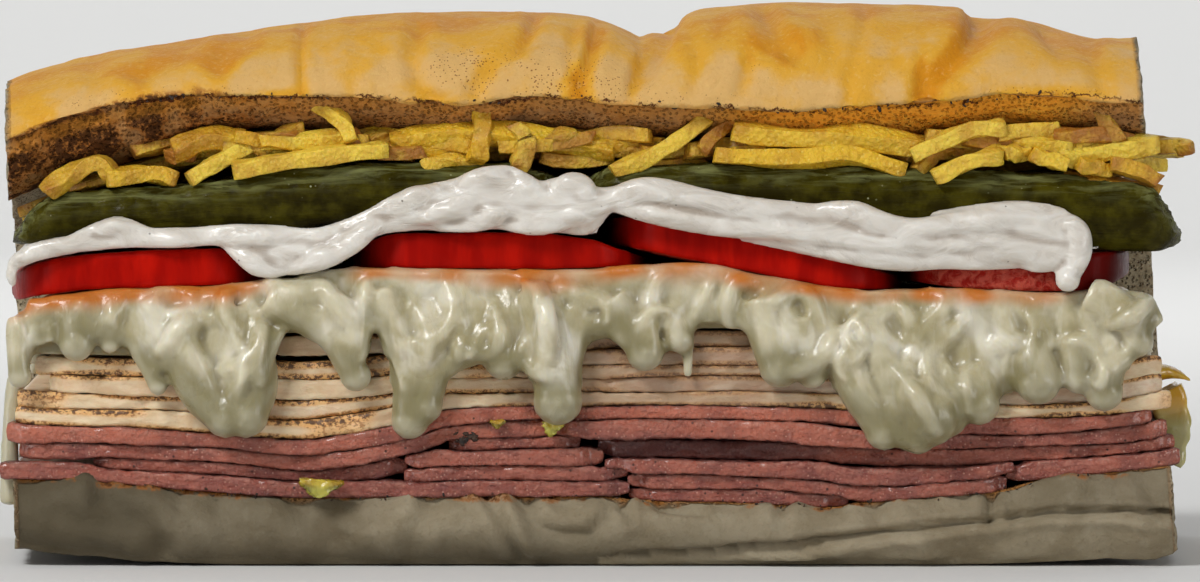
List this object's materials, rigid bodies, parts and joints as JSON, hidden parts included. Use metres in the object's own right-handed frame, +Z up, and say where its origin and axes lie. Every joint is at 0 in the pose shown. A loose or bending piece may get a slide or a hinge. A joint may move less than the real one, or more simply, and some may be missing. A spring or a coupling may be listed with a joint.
{
  "type": "submarine sandwich",
  "caption": "Submarine sandwich cut square at both ends: hinged roll filled with deli beef, turkey, melted cheese, tomato, white sauce, pickle and potato sticks.",
  "frame": {"origin": "on the table, under the middle of the flat underside of the roll", "axes": "+X along the roll to its right-hand cut end, -Y towards the open side, +Z up"},
  "size_m": [0.1608, 0.0808, 0.0734],
  "materials": {
    "crust": "baked roll: satin golden crust outside, matt porous crumb inside",
    "beef": "moist cured beef",
    "turkey": "moist pale turkey with browned edges",
    "cheese": "glossy melted cheese",
    "tomato": "glossy skin, wet flesh",
    "sauce": "glossy creamy sauce",
    "pickle": "wet dark green skin",
    "potato": "crisp fried potato",
    "pepper": "moist pickled pepper"
  },
  "bodies": {
    "root": {"roll": "crust", "melted_cheese": "cheese", "white_sauce": "sauce", "potato_sticks": "potato", "pepper_chip": "pepper", "pepper_ring": "pepper", "pepper_tip": "pepper", "pickle_slice_1": "pickle", "pickle_slice_2": "pickle", "beef_slice_1": "beef", "beef_slice_2": "beef", "beef_slice_3": "beef", "beef_slice_4": "beef", "beef_slice_5": "beef", "beef_slice_6": "beef", "beef_slice_7": "beef", "beef_slice_8": "beef", "beef_slice_9": "beef", "beef_slice_10": "beef", "beef_slice_11": "beef", "beef_slice_12": "beef", "beef_slice_13": "beef", "beef_slice_14": "beef", "beef_slice_15": "beef", "turkey_slice_1": "turkey", "turkey_slice_2": "turkey", "turkey_slice_3": "turkey", "turkey_slice_4": "turkey", "turkey_slice_5": "turkey", "tomato_slice_1": "tomato", "tomato_slice_2": "tomato", "tomato_slice_3": "tomato", "tomato_slice_4": "tomato"}
  },
  "joints": []
}
